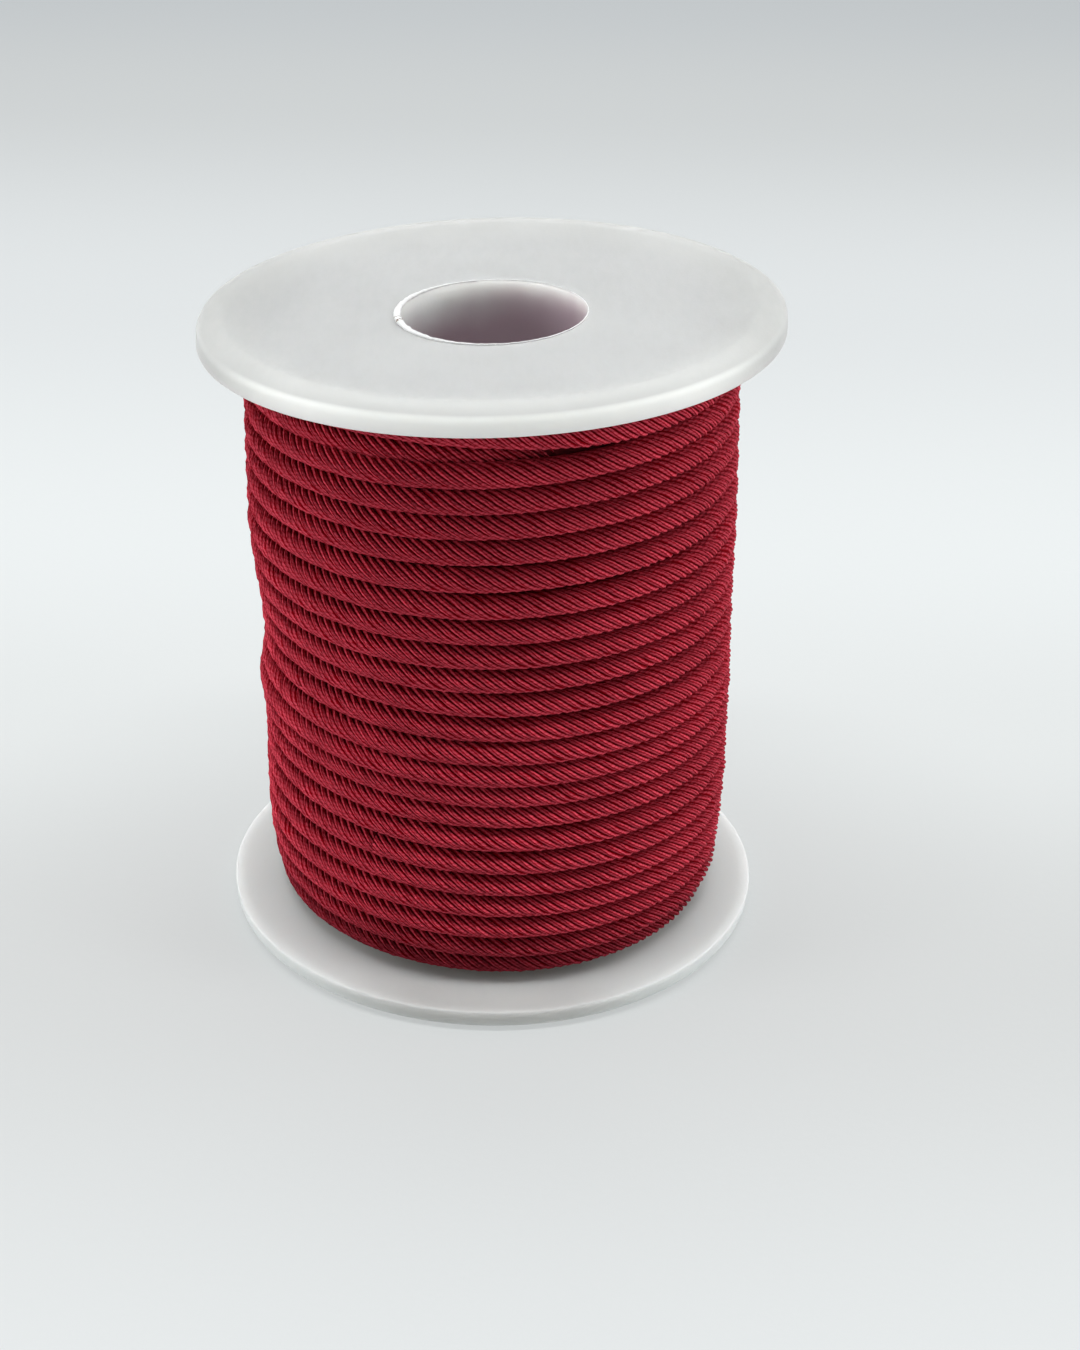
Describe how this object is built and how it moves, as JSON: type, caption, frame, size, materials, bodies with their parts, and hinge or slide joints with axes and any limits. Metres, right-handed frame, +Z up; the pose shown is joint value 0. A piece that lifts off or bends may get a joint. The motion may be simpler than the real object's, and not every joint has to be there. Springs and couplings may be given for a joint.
{
  "type": "twisted cord wound on a spool",
  "caption": "Red twisted jewellery cord wound in neat side-by-side turns on a white plastic spool with dished flanges and a through bore.",
  "frame": {"origin": "centre of the object's box at floor level, under the lower flange", "axes": "+Z up along the spool from the lower flange to the upper one, -Y the front that the picture shows, +X to the right"},
  "size_m": [0.068, 0.068, 0.08],
  "materials": {
    "white_plastic": "satin moulded white, slightly translucent",
    "red_cord": "tightly twisted matt satin thread"
  },
  "bodies": {
    "root": {"spool": "white_plastic", "cord_winding": "red_cord"}
  },
  "joints": []
}
